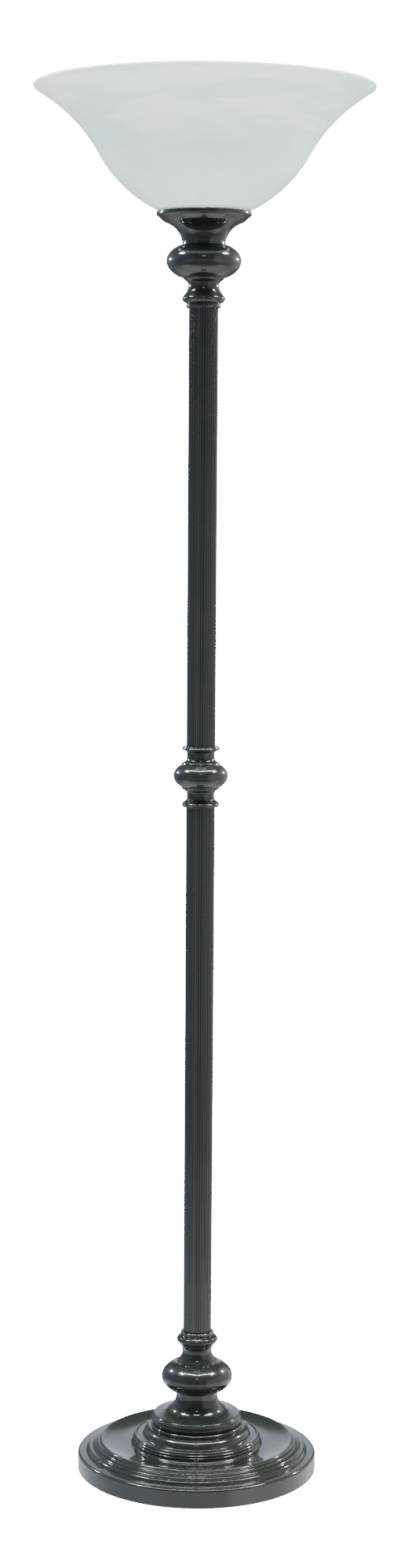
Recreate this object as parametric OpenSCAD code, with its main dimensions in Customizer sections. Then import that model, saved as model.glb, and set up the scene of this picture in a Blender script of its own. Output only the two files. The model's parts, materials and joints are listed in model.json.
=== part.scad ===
// Torchiere floor lamp: a weighted base, two reeded tubes joined by a ball coupling,
// and an alabaster glass bowl that holds one upright bulb. Millimetres, +Z up.
// The origin is the middle of the floor face. A threaded pipe clamps the whole stack.

/* [Overall] */
// Height from the floor to the rim of the glass bowl
total_h = 1770; // [1755:1:1800]
// Largest radius of the glass bowl
bowl_r = 210; // [206:1:214]
// Wall of the glass bowl
glass_t = 4.2; // [4:0.1:5]
// Radius of the base rim
base_r = 157; // [156.5:0.1:158]

/* [Column] */
// Outer radius of the reeded tubes, over the reeds
tube_r = 18.4; // [18.2:0.1:18.4]
// Inner radius of the reeded tubes
tube_bore_r = 16.6; // [16.4:0.1:16.7]
// Number of reeds round a tube
reeds = 36; // [30:2:40]
// Height of the middle of the ball coupling
coupling_z = 921.7; // [915:0.1:925]
// Radius of the coupling ball
coupling_r = 34.8; // [34:0.1:36]
// Radius of the two knuckles
knuckle_r = 46.5; // [46:0.1:48]

/* [Clamping pipe] */
// Outer radius of the threaded pipe
pipe_r = 5.15; // [5.1:0.01:5.15]
// Bore radius of the threaded pipe, where the lead runs
pipe_bore_r = 3.4; // [3:0.1:3.6]
// Gap between the pipe and the holes that it passes
pipe_gap = 0.08; // [0.06:0.01:0.1]

/* [Switch and bulb] */
// Radius of the switch knob
knob_r = 6; // [5:0.5:7]
// Length of the switch knob
knob_len = 13; // [11:1:15]
// Largest radius of the bulb
bulb_r = 30; // [28:0.5:31]

/* [Hidden] */
$fn = 96;
hole_r = pipe_r + pipe_gap;
nut_hole_r = pipe_r + 0.05;

// Heights of the stack, from the floor up.
felt_t = 2.5;
rim_z = 1.5;
weight_top = 16;
seat_z = 63.1;
bell_top = 107.8;
knuckle_flat = 20;
knuckle_round = 19;
knuckle_half = 25.6;
knuckle_lo_z = bell_top + knuckle_round;
bead_lo_z = knuckle_lo_z + knuckle_flat;
tube_lo_z0 = 181;
tube_lo_z1 = coupling_z - 34.7;
tube_up_z0 = coupling_z + 33.3;
bead_up_z0 = 1503.3;
tube_up_z1 = bead_up_z0 + 9;
knuckle_up_z = 1560.2;
bead_up_z1 = knuckle_up_z - knuckle_flat;
cup_z = knuckle_up_z + knuckle_round;
cup_floor = 1611;
glass_z = cup_floor + 1;
glass_in_z = glass_z + glass_t;
washer_top = glass_in_z + 1.5;
plate_top = washer_top + 1.6;
lock_t = 1;
nut_top = plate_top + lock_t + 5;
socket_z = nut_top + 1;
pipe_top = socket_z + 8;

// Socket, bulb and switch.
socket_r = 17.4;
cap_top = socket_z + 22;
shell_h = 34;
block_z = socket_z + 12.7;
bulb_z = cap_top + 7;
contact_z = bulb_z - 2.6;
switch_z = socket_z + 17.5;
spindle_r = 2;
knob_x = socket_r + 3.4;

// Cord outlet in the back of the base rim.
outlet_z = 10;
outlet_r = 5;

// Points on a cubic curve from a to d; skip leaves out the first points.
function cubic(a, b, c, d, n = 8, skip = 0) = [
    for (i = [skip:n])
        let (t = i / n, s = 1 - t)
            a * s * s * s + 3 * b * s * s * t + 3 * c * s * t * t + d * t * t * t
];

// Points on an arc about (x, z); the angles run from a0 to a1.
function arc(x, z, r, a0, a1, n = 5) = [
    for (i = [0:n])
        let (a = a0 + (a1 - a0) * i / n)
            [x + r * cos(a), z + r * sin(a)]
];

// Points on an ellipse centred on the axis, from height u0 to u1 about its middle.
function bulge(r, half, z, u0, u1, n = 12) = [
    for (i = [0:n])
        let (a = asin(u0 / half) + (asin(u1 / half) - asin(u0 / half)) * i / n)
            [r * cos(a), z + half * sin(a)]
];

// The same outline moved sideways by t, to the left of its direction.
function moved_in(pts, t) = [
    for (i = [0:len(pts) - 1])
        let (
            a = pts[max(i - 1, 0)],
            b = pts[min(i + 1, len(pts) - 1)],
            along = (b - a) / norm(b - a)
        )
            pts[i] + t * [-along[1], along[0]]
];
function reversed(pts) = [for (i = [len(pts) - 1:-1:0]) pts[i]];
function lifted(pts, z) = [for (p = pts) [p[0], p[1] + z]];
function flipped(pts, z) = [for (p = pts) [p[0], z - p[1]]];

module turned(outline) {
    rotate_extrude() polygon(outline);
}

module ring(r_out, r_in, h) {
    difference() {
        cylinder(r = r_out, h = h);
        translate([0, 0, -1]) cylinder(r = r_in, h = h + 2);
    }
}

// A hexagon nut with chamfered corners and a round bore.
module hex_nut(flats, h, bore) {
    difference() {
        intersection() {
            cylinder(r = flats / sqrt(3), h = h, $fn = 6);
            turned([
                [0, 0], [flats / 2 - 0.2, 0], [flats / sqrt(3), 1],
                [flats / sqrt(3), h - 1], [flats / 2 - 0.2, h], [0, h]
            ]);
        }
        translate([0, 0, -1]) cylinder(r = bore, h = h + 2);
    }
}

// ---- Base ----

module base_felt() {
    color([0.10, 0.11, 0.10])
        cylinder(r = base_r - 2.2, h = felt_t);
}

// Cast iron disc with a hub that carries the stack, a nut pocket and a lead channel.
module base_weight() {
    r = base_r - 27;
    pocket_r = 21;
    pocket_z = 14.5;
    channel_w = 14;
    color([0.22, 0.22, 0.21])
        difference() {
            turned([
                [hole_r, pocket_z], [pocket_r, pocket_z], [pocket_r, felt_t],
                [r - 1.5, felt_t], [r, felt_t + 1.5], [r, weight_top - 3],
                [r - 3, weight_top], [46, weight_top + 4], [34, weight_top + 9],
                [30, weight_top + 18], [30, seat_z - 1.6], [hole_r, seat_z - 1.6]
            ]);
            translate([-channel_w / 2, 0, felt_t - 1])
                cube([channel_w, r + 1, pocket_z - felt_t + 1]);
        }
}

// Top face of the base, from the bell seat out to the rim.
function base_face() = concat(
    [[hole_r, seat_z]],
    arc(57.6, 60.4, 2.6, 110, -50, 6),
    arc(59.6, 47.4, 10.8, 78, 4, 7),
    [[71.4, 47.3], [78.4, 47.0]],
    arc(80.6, 46.5, 1.8, 115, -15),
    arc(82.4, 43.6, 1.6, 55, -25),
    arc(83.1, 40.2, 1.8, 55, -55),
    arc(87.6, 38.3, 2.9, 190, 275),
    cubic([88.2, 35.4], [101, 34.6], [114, 37.2], [123.6, 40.9], 7, 1),
    arc(125.3, 38.8, 2.5, 120, -5),
    arc(130.1, 35.9, 2.1, 75, -5),
    arc(135.0, 32.5, 2.2, 75, -5),
    arc(140.8, 28.9, 2.8, 85, -5),
    [[144.6, 26.6], [146.2, 25.9]],
    arc(base_r - 3.4, 22.4, 3.4, 90, 0)
);

module base_cover() {
    wall = 1.6;
    color([0.18, 0.20, 0.19])
        difference() {
            turned(concat(
                base_face(),
                [[base_r, rim_z + 0.6], [base_r - 0.6, rim_z], [base_r - wall, rim_z]],
                [[base_r - wall, 21.6], [152.6, 24.2], [143, 24.4], [124.6, 37.2]],
                [[112, 35.2], [100, 33.6], [88, 33.4], [83.4, 34.6], [81.2, 40]],
                [[79.4, 45.2], [70, 45.6], [68.8, 47.4], [62.8, 54.4], [57, 58.4]],
                [[55, seat_z - 1.6], [hole_r, seat_z - 1.6]]
            ));
            translate([0, base_r, outlet_z]) rotate([90, 0, 0])
                cylinder(r = outlet_r + 0.06, h = 30, center = true);
        }
}

// Flanged bushing that the lead would leave the rim through.
module cord_bushing() {
    flange_r = outlet_r + 2.2;
    seat_y = sqrt(base_r * base_r - flange_r * flange_r);
    color([0.08, 0.08, 0.08])
        difference() {
            union() {
                translate([0, base_r - 6, outlet_z]) rotate([-90, 0, 0])
                    cylinder(r = outlet_r, h = 8);
                difference() {
                    translate([0, seat_y, outlet_z]) rotate([-90, 0, 0])
                        cylinder(r = flange_r, h = base_r + 1.8 - seat_y);
                    cylinder(r = base_r, h = 2 * outlet_z);
                }
            }
            translate([0, base_r, outlet_z]) rotate([90, 0, 0])
                cylinder(r = outlet_r - 1.6, h = 30, center = true);
        }
}

module base_washer() {
    color([0.62, 0.63, 0.64])
        translate([0, 0, 12.5]) ring(18, hole_r, 2);
}

module base_nut() {
    color([0.72, 0.66, 0.48])
        translate([0, 0, 11.5 - 6]) hex_nut(19, 6, nut_hole_r);
}

// One lock washer under the base nut, one under the bowl nut.
module lock_washers() {
    color([0.55, 0.56, 0.58])
        for (z = [11.5, plate_top])
            translate([0, 0, z]) ring(8.6, hole_r, lock_t);
}

// Pedestal casting: two rolls, a low shoulder and a flared neck, hollow inside.
module base_bell() {
    color([0.18, 0.20, 0.19])
        turned(concat(
            [[56.0, seat_z], [57.4, seat_z + 0.6], [58.0, 66]],
            arc(57.6, 68.2, 1.9, -50, 45),
            arc(57.2, 72.4, 1.9, -50, 40),
            arc(55.5, 74.9, 1.7, 5, 75),
            cubic([55.9, 76.5], [53, 77.1], [48.6, 77.2], [44, 78.5], 5, 1),
            cubic([44, 78.5], [35.5, 80.6], [28.4, 88], [27, 101], 8, 1),
            [[27, bell_top - 1], [26.2, bell_top], [hole_r, bell_top]],
            [[hole_r, bell_top - 6], [22, bell_top - 6.6]],
            [[23.5, 92], [30, 81], [38, 76], [50, 72.5], [54, 69], [54, seat_z]]
        ));
}

// ---- Knuckles: hollow balls, cut off square at both ends ----

function knuckle_outline(z) = concat(
    [[hole_r, z - knuckle_flat], [27.2, z - knuckle_flat], [28.6, z - knuckle_flat + 0.3]],
    bulge(knuckle_r, knuckle_half, z, -knuckle_flat + 1.2, knuckle_round - 0.8, 16),
    [[28.6, z + knuckle_round - 0.2], [27.6, z + knuckle_round]],
    [[hole_r, z + knuckle_round], [hole_r, z + knuckle_round - 5]],
    [[29, z + knuckle_round - 5]],
    reversed(bulge(knuckle_r - 3.4, knuckle_half - 3.4, z, -15, 14, 6)),
    [[hole_r, z - 15]]
);

module lower_knuckle() {
    color([0.18, 0.20, 0.19])
        turned(flipped(knuckle_outline(0), knuckle_lo_z));
}

module upper_knuckle() {
    color([0.18, 0.20, 0.19])
        turned(knuckle_outline(knuckle_up_z));
}

// ---- Bead castings: a spool neck, a bead and a lip that takes the tube ----
// Heights run from the tube end (0) to the knuckle end (h).

function bead_outline(h, seat) = concat(
    [[tube_r + 0.06, 0], [20.6, 0], [21.5, 0.8], [21.7, 3.2], [21.0, 5.4]],
    [[22.6, 6.2], [25.0, 7.6]],
    arc(23.7, 11.4, 3.3, -40, 50, 6),
    cubic([25.6, 14.4], [22.4, 18.4], [19.2, 21.4], [19.2, 28], 7, 1),
    cubic([19.2, 28], [19.3, 32.4], [22.8, h - 5], [25.8, h - 1], 6, 1),
    [[26, h], [hole_r, h], [hole_r, h - 5], [14, h - 5.4]],
    [[13.4, 26], [15.6, seat + 6], [15.6, seat + 4], [hole_r, seat + 4]],
    [[hole_r, seat], [tube_r + 0.06, seat]]
);

module lower_bead() {
    h = tube_lo_z0 + 7.6 - bead_lo_z;
    color([0.18, 0.20, 0.19])
        turned(flipped(bead_outline(h, 7.6), bead_lo_z + h));
}

module upper_bead() {
    color([0.18, 0.20, 0.19])
        turned(lifted(bead_outline(bead_up_z1 - bead_up_z0, 9), bead_up_z0));
}

// ---- Reeded tubes ----

module reeded_tube(z0, z1) {
    reed_r = 1.55;
    translate([0, 0, z0])
        linear_extrude(z1 - z0)
            difference() {
                union() {
                    circle(r = tube_r - 0.9);
                    for (i = [0:reeds - 1])
                        rotate(i * 360 / reeds) translate([tube_r - reed_r, 0])
                            circle(r = reed_r, $fn = 24);
                }
                circle(r = tube_bore_r);
            }
}

module lower_tube() {
    color([0.28, 0.30, 0.28]) reeded_tube(tube_lo_z0, tube_lo_z1);
}

module upper_tube() {
    color([0.28, 0.30, 0.28]) reeded_tube(tube_up_z0, tube_up_z1);
}

// Four turned rings that centre the ends of the tubes on the pipe.
module seating_rings() {
    ring_t = 4;
    color([0.70, 0.58, 0.32])
        for (z = [tube_lo_z0, tube_lo_z1 - ring_t, tube_up_z0, tube_up_z1 - ring_t])
            translate([0, 0, z]) ring(tube_bore_r - 0.06, hole_r, ring_t);
}

// ---- Ball coupling between the tubes ----
// Heights run away from the middle of the ball.

ball_cut = 13.6;
ball_room = 9;

function collar_outline(seat, h) = concat(
    [[ball_room, ball_cut], [24.4, ball_cut], [24.4, ball_cut + 1]],
    arc(22.4, ball_cut + 2.4, 1.3, 10, 70, 4),
    cubic([22.0, ball_cut + 4], [19.4, 19], [17.6, 20], [17.6, 23.5], 5, 1),
    cubic([17.6, 28.6], [17.7, 31.6], [20.4, 31.4], [22.6, seat - 0.6], 4),
    arc(22.4, seat + 1.4, 1.6, -40, 50, 4),
    [[22.8, h - 0.4], [tube_r + 0.06, h], [tube_r + 0.06, seat]],
    [[hole_r, seat], [hole_r, 22], [ball_room, 22]]
);

module coupling_lower_collar() {
    seat = coupling_z - tube_lo_z1;
    color([0.18, 0.20, 0.19])
        turned(flipped(collar_outline(seat, seat + 5.2), coupling_z));
}

module coupling_upper_collar() {
    seat = tube_up_z0 - coupling_z;
    color([0.18, 0.20, 0.19])
        turned(lifted(collar_outline(seat, seat + 4.6), coupling_z));
}

module coupling_ball() {
    half = 20.4;
    color([0.18, 0.20, 0.19])
        turned(concat(
            [[ball_room, coupling_z - ball_cut]],
            bulge(coupling_r, half, coupling_z, -ball_cut, ball_cut, 14),
            [[ball_room, coupling_z + ball_cut], [ball_room, coupling_z + ball_cut - 4]],
            reversed(bulge(coupling_r - 4, half - 4, coupling_z, 4 - ball_cut, ball_cut - 4, 6)),
            [[ball_room, coupling_z - ball_cut + 4]]
        ));
}

// ---- Clamping pipe ----

module lower_pipe() {
    color([0.60, 0.60, 0.58])
        translate([0, 0, 4]) ring(pipe_r, pipe_bore_r, coupling_z - 0.5 - 4);
}

module upper_pipe() {
    z0 = coupling_z + 0.5;
    color([0.60, 0.60, 0.58])
        translate([0, 0, z0]) ring(pipe_r, pipe_bore_r, pipe_top - z0);
}

module pipe_coupling() {
    half = 19;
    color([0.70, 0.58, 0.32])
        translate([0, 0, coupling_z - half]) ring(ball_room - 0.5, nut_hole_r, 2 * half);
}

// ---- Bowl holder and glass ----

// Cup casting: a swept trumpet with a bevelled, flanged lip.
module bowl_cup() {
    color([0.18, 0.20, 0.19])
        turned(concat(
            [[hole_r, cup_z], [26.4, cup_z], [27, cup_z + 0.6]],
            cubic([26.8, cup_z + 4], [28.6, 1593], [35.2, 1600.6], [43.6, 1604.6], 8),
            [[48.0, 1606.4], [50.4, 1607.6], [55.6, 1612.4], [56.4, 1613.2]],
            arc(56.9, 1616.0, 2.2, -60, 20, 4),
            arc(57.4, 1618.1, 1.5, 0, 90, 4),
            [[56.6, 1619.3], [50, 1616.2], [40, 1612.3], [35, cup_floor]],
            [[hole_r, cup_floor], [hole_r, cup_floor - 4], [30, cup_floor - 4]],
            [[26, 1598], [23.4, 1590], [22.8, cup_z + 5], [hole_r, cup_z + 5]]
        ));
}

module bowl_gasket() {
    color([0.12, 0.12, 0.12])
        translate([0, 0, cup_floor]) ring(32, hole_r, glass_z - cup_floor);
}

// Outer face of the bowl: a rounded belly, then a flare out to the lip.
function bowl_face() = concat(
    [[8, glass_z], [22, glass_z]],
    cubic([34, glass_z + 0.6], [74, 1622.6], [112, 1653], [133, 1693], 14),
    cubic([133, 1693], [150, 1721], [bowl_r - 37, total_h - 26.1], [bowl_r - 1.2, total_h - 4.3], 14, 1)
);

module glass_bowl() {
    lip = glass_t / 2;
    face = bowl_face();
    color([0.84, 0.87, 0.87])
        turned(concat(
            face,
            arc(bowl_r - lip, total_h - lip, lip, -50, 110, 7),
            reversed(moved_in(face, glass_t))
        ));
}

module bowl_washer() {
    color([0.12, 0.12, 0.12])
        translate([0, 0, glass_in_z]) ring(20, hole_r, washer_top - glass_in_z);
}

module bowl_plate() {
    color([0.72, 0.60, 0.34])
        translate([0, 0, washer_top])
            difference() {
                turned([[0, 0], [22, 0], [22, 0.6], [21, 1.6], [0, 1.6]]);
                translate([0, 0, -1]) cylinder(r = hole_r, h = 4);
            }
}

module bowl_nut() {
    color([0.72, 0.60, 0.34])
        translate([0, 0, plate_top + lock_t]) hex_nut(16, 5, nut_hole_r);
}

// ---- Socket ----

module socket_cap() {
    wall = 0.8;
    color([0.78, 0.64, 0.34])
        difference() {
            turned([
                [nut_hole_r, socket_z], [8.4, socket_z], [8.6, socket_z + 5],
                [11, socket_z + 7], [15.4, socket_z + 9], [socket_r, socket_z + 12],
                [socket_r, cap_top], [socket_r - wall, cap_top],
                [socket_r - wall, socket_z + 12.4], [14.8, socket_z + 9.8],
                [10, socket_z + 8], [nut_hole_r, socket_z + 8]
            ]);
            translate([-12, 0, socket_z + 2.6]) rotate([0, 90, 0])
                cylinder(r = 1.3, h = 8);
            translate([10, 0, switch_z]) rotate([0, 90, 0])
                cylinder(r = 2.6, h = 12);
        }
}

// Small screw that locks the socket cap on the pipe.
module cap_set_screw() {
    color([0.60, 0.61, 0.62])
        translate([-10.4, 0, socket_z + 2.6]) rotate([0, 90, 0])
            cylinder(r = 1.24, h = 10.4 - pipe_r - 0.05);
}

module socket_shell() {
    wall = 0.7;
    color([0.80, 0.66, 0.36])
        translate([0, 0, cap_top])
            turned([
                [socket_r, 0], [socket_r, 23], [socket_r + 0.8, 25],
                [socket_r + 0.8, 28], [socket_r, 30], [socket_r, shell_h - 0.4],
                [socket_r - 0.3, shell_h], [socket_r - wall, shell_h],
                [socket_r - wall, 30], [socket_r + 0.1, 28], [socket_r + 0.1, 25],
                [socket_r - wall, 23], [socket_r - wall, 0]
            ]);
}

module socket_liner() {
    color([0.72, 0.62, 0.44])
        translate([0, 0, cap_top]) ring(socket_r - 0.76, socket_r - 1.6, shell_h - 1);
}

// Moulded block that carries the contacts, with a recess for each terminal screw.
module socket_body() {
    r = socket_r - 2.2;
    recess_y = 9;
    color([0.16, 0.12, 0.10])
        difference() {
            translate([0, 0, block_z]) cylinder(r = r, h = contact_z - block_z);
            translate([0, 0, block_z - 1]) cylinder(r = 4, h = 5);
            for (side = [-1, 1])
                translate([-8, side > 0 ? recess_y : -r - 1, block_z - 1])
                    cube([16, r + 1 - recess_y, 9.5]);
            for (side = [-1, 1])
                translate([0, side * recess_y, block_z + 4.5]) rotate([90, 0, 0])
                    cylinder(r = 1.56, h = 6, center = true);
            translate([5, 0, switch_z]) rotate([0, 90, 0])
                cylinder(r = spindle_r + 0.06, h = 12);
        }
}

module terminal_screws() {
    color([0.76, 0.62, 0.34])
        for (side = [-1, 1])
            translate([0, side * 9, block_z + 4.5]) rotate([-side * 90, 0, 0])
                union() {
                    translate([0, 0, -2.4]) cylinder(r = 1.5, h = 2.5);
                    cylinder(r = 3, h = 1.6);
                }
}

module screw_shell() {
    color([0.80, 0.66, 0.36])
        translate([0, 0, contact_z])
            ring(14.4, 13.8, cap_top + shell_h - 8 - contact_z);
}

module centre_contact() {
    color([0.80, 0.66, 0.36])
        translate([0, 0, contact_z])
            union() {
                cylinder(r = 4.4, h = 0.8);
                cylinder(r = 2.2, h = bulb_z - 0.3 - contact_z);
            }
}

// ---- Switch ----

module switch_spindle() {
    color([0.66, 0.67, 0.68])
        translate([6, 0, switch_z]) rotate([0, 90, 0])
            cylinder(r = spindle_r, h = knob_x + knob_len - 3 - 6);
}

// Ribbed turn knob with a blind bore.
module switch_knob() {
    ribs = 20;
    color([0.12, 0.09, 0.08])
        translate([knob_x, 0, switch_z]) rotate([0, 90, 0])
            difference() {
                union() {
                    turned([
                        [0, 0], [knob_r + 0.8, 0], [knob_r + 0.8, 1.6],
                        [knob_r - 0.4, 2.4], [knob_r - 0.6, knob_len - 1.6],
                        [knob_r - 1.8, knob_len], [0, knob_len]
                    ]);
                    for (i = [0:ribs - 1])
                        rotate(i * 360 / ribs) translate([knob_r - 0.5, 0, 1])
                            cylinder(r = 0.45, h = knob_len - 3, $fn = 16);
                }
                translate([0, 0, -1]) cylinder(r = spindle_r + 0.06, h = knob_len - 1.6);
                translate([0, 0, 6]) rotate([-90, 0, 0]) cylinder(r = 1.05, h = 12);
            }
}

module knob_set_screw() {
    color([0.60, 0.61, 0.62])
        translate([knob_x + 6, 2.1, switch_z]) rotate([-90, 0, 0])
            cylinder(r = 1, h = 2.8);
}

// ---- Bulb: heights run up from the tip of its cap ----

module bulb_glass() {
    wall = 0.9;
    neck = 25;
    face = concat(
        [[13.2, neck], [13.6, neck + 4]],
        cubic([14, neck + 8], [15.6, neck + 22], [bulb_r, neck + 27], [bulb_r, neck + 49], 9, 1),
        arc(0, neck + 49, bulb_r, 9, 90, 9)
    );
    color([0.93, 0.94, 0.93])
        translate([0, 0, bulb_z])
            turned(concat(
                face,
                [[0, neck + 49 + bulb_r - wall]],
                reversed(moved_in([for (i = [0:len(face) - 2]) face[i]], wall))
            ));
}

// Threaded cap, drawn as a stepped sleeve with a shallow ridge for each turn.
module bulb_cap() {
    pitch = 3.6;
    turns = 5;
    color([0.74, 0.75, 0.76])
        translate([0, 0, bulb_z])
            turned(concat(
                [[9.4, 2.2], [12.4, 4.4]],
                [
                    for (i = [0:turns - 1], p = [[12.5, 0], [13.2, 1.2], [13.2, 2.1], [12.5, 3.2]])
                        [p[0], 5 + i * pitch + p[1]]
                ],
                [[13.2, 23.6], [13.2, 25], [12.3, 25], [12, 23], [11.8, 5.2], [9.2, 3.2]]
            ));
}

module bulb_insulator() {
    color([0.10, 0.09, 0.09])
        translate([0, 0, bulb_z])
            union() {
                turned([[0, 0.6], [4, 0.8], [9.4, 2.2], [9.2, 3.2], [0, 3.2]]);
                cylinder(r1 = 3.4, r2 = 4, h = 0.8);
            }
}

// Glass stem inside the bulb.
module bulb_stem() {
    color([0.86, 0.88, 0.88])
        translate([0, 0, bulb_z])
            turned([
                [0, 23.4], [12, 23.4], [12, 25], [8, 28], [4.4, 34], [3.2, 44],
                [2.4, 56], [0, 57]
            ]);
}

// Two support wires and the coiled filament between them.
module bulb_filament() {
    span = 11;
    color([0.50, 0.50, 0.52])
        translate([0, 0, bulb_z])
            union() {
                for (side = [-1, 1])
                    translate([side * 3.6, 0, 44.2]) rotate([0, side * 14, 0])
                        cylinder(r = 0.35, h = 27, $fn = 16);
                translate([-span, 0, 69.6]) rotate([0, 90, 0])
                    cylinder(r = 0.8, h = 2 * span, $fn = 16);
            }
}

base_felt();
base_weight();
base_cover();
cord_bushing();
base_washer();
base_nut();
lock_washers();
base_bell();
lower_knuckle();
lower_bead();
lower_tube();
coupling_lower_collar();
coupling_ball();
coupling_upper_collar();
upper_tube();
upper_bead();
upper_knuckle();
seating_rings();
lower_pipe();
pipe_coupling();
upper_pipe();
bowl_cup();
bowl_gasket();
glass_bowl();
bowl_washer();
bowl_plate();
bowl_nut();
socket_cap();
socket_shell();
socket_liner();
socket_body();
screw_shell();
centre_contact();
terminal_screws();
cap_set_screw();
switch_spindle();
switch_knob();
knob_set_screw();
bulb_glass();
bulb_cap();
bulb_insulator();
bulb_stem();
bulb_filament();
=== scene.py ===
"""Torchiere floor lamp: the finished look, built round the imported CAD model.

The turned castings, the glass and the bulb are turned again from the CAD nodes' own outlines,
with curved stretches smoothed and corners eased. Geometry Nodes make the reeded tubes, the
screw threads and the knob's ribs. The frame gives the places and main sizes, in metres.
"""

import json
import math
import bmesh
import bpy
import numpy as np
from mathutils import Matrix, Vector
from mathutils.kdtree import KDTree

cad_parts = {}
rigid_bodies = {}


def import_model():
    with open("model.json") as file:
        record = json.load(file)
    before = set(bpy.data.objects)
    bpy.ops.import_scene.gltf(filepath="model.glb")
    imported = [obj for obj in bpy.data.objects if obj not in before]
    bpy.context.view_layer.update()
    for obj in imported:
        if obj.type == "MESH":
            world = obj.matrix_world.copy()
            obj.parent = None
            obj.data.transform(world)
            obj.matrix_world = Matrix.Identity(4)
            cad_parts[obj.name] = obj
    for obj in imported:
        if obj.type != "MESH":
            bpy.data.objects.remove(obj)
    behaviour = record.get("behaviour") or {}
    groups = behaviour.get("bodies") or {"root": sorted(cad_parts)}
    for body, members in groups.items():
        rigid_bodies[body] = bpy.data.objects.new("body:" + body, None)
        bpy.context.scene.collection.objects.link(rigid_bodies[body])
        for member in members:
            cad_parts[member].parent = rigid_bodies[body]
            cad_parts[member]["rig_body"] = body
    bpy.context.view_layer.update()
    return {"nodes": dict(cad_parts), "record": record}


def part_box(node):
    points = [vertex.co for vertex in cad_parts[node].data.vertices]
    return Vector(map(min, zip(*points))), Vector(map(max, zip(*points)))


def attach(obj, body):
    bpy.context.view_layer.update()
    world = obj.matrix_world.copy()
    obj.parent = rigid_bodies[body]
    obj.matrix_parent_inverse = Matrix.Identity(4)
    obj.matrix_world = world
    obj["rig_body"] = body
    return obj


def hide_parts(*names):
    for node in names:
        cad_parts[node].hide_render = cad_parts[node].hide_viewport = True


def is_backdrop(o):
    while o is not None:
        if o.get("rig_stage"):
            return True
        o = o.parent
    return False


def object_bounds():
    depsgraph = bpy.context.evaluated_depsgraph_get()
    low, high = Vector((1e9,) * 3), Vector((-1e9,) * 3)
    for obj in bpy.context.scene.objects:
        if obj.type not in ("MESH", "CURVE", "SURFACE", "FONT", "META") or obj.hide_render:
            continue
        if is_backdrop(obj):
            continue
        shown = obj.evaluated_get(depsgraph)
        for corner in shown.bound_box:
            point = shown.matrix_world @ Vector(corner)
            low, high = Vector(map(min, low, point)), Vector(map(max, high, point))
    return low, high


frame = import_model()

bl_info = {
    "name": "Torchiere floor lamp",
    "version": (1, 0, 0),
    "blender": (4, 5, 0),
    "location": "View3D > Sidebar > Lamp",
    "description": "Builds a torchiere floor lamp round its CAD frame",
    "category": "Object",
}

MM = 0.001
WELD = 4e-6
CREASE = math.radians(35)
NODES = frame["nodes"]
SLOTS = {row["node"]: row["material_slot"] for row in frame["record"]["subparts"]}

# Radiance of the white behind the lamp, of the floor's own glow, of the dim room that the
# polish reflects, and of the even light that matt surfaces get besides.
WHITE = 18.0
PAPER = 17.0
DIM = 0.17
EVEN = 0.9

# Tints of the lights on the lamp's left and right.
LEFT_TINT = (0.91, 0.96, 1)
RIGHT_TINT = (0.97, 1, 0.93)

# How far the cord bushing's flange reaches past its shank.
BUSHING_FLANGE = 2.2 * MM

CASTINGS = (
    "base_bell",
    "lower_knuckle",
    "lower_bead",
    "coupling_lower_collar",
    "coupling_ball",
    "coupling_upper_collar",
    "upper_bead",
    "upper_knuckle",
    "bowl_cup",
)
WASHERS = ("base_washer", "bowl_gasket", "bowl_washer", "bowl_plate", "pipe_coupling")


# ---- Sizes and finishes that a user would change ----


class LampShape(bpy.types.PropertyGroup):
    """Sizes of the finished pieces that the frame doesn't hold."""

    steps: bpy.props.IntProperty(
        name="Steps round", description="Faces round a turned piece", default=144, min=48, max=256
    )
    easing: bpy.props.FloatProperty(
        name="Corner easing",
        description="How far a sharp corner is rounded off",
        default=0.35 * MM,
        min=0.05 * MM,
        max=1 * MM,
        subtype="DISTANCE",
        unit="LENGTH",
    )
    reeds: bpy.props.IntProperty(
        name="Reeds", description="Number of reeds round a tube", default=36, min=12, max=72
    )
    reed_radius: bpy.props.FloatProperty(
        name="Reed radius",
        description="Radius of one rounded reed",
        default=1.55 * MM,
        min=1 * MM,
        max=3 * MM,
        subtype="DISTANCE",
        unit="LENGTH",
    )
    reed_depth: bpy.props.FloatProperty(
        name="Reed depth",
        description="Height of a reed over the groove beside it",
        default=0.9 * MM,
        min=0.2 * MM,
        max=1.5 * MM,
        subtype="DISTANCE",
        unit="LENGTH",
    )
    bulb_pitch: bpy.props.FloatProperty(
        name="Bulb thread pitch",
        description="Rise of the lamp holder's thread in one turn",
        default=3.6 * MM,
        min=2 * MM,
        max=5 * MM,
        subtype="DISTANCE",
        unit="LENGTH",
    )
    pipe_pitch: bpy.props.FloatProperty(
        name="Pipe thread pitch",
        description="Rise of the lamp pipe's thread in one turn",
        default=0.94 * MM,
        min=0.5 * MM,
        max=2 * MM,
        subtype="DISTANCE",
        unit="LENGTH",
    )
    knob_ribs: bpy.props.IntProperty(
        name="Knob ribs", description="Ribs round the switch knob", default=20, min=8, max=36
    )


def swatch(name, description, default):
    return bpy.props.FloatVectorProperty(
        name=name, description=description, default=default, size=3, min=0, max=1, subtype="COLOR"
    )


class LampFinish(bpy.types.PropertyGroup):
    """Colours of the finishes."""

    lacquer: swatch("Lacquer", "Dark bronze lacquer on the castings", (0.009, 0.012, 0.0105))
    lacquer_warm: swatch("Lacquer, warm", "Warmer patches in the lacquer", (0.014, 0.015, 0.011))
    lacquer_worn: swatch("Lacquer, worn", "Edges where the bronze shows", (0.024, 0.025, 0.021))
    glass: swatch("Alabaster glass", "Body of the glass bowl", (0.64, 0.77, 0.78))
    glass_swirl: swatch("Glass swirl", "Milky swirls in the glass bowl", (0.87, 0.96, 0.95))
    brass: swatch("Brass", "Turned brass fittings", (0.62, 0.44, 0.17))
    felt: swatch("Felt", "Pad under the base", (0.030, 0.034, 0.031))


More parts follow.
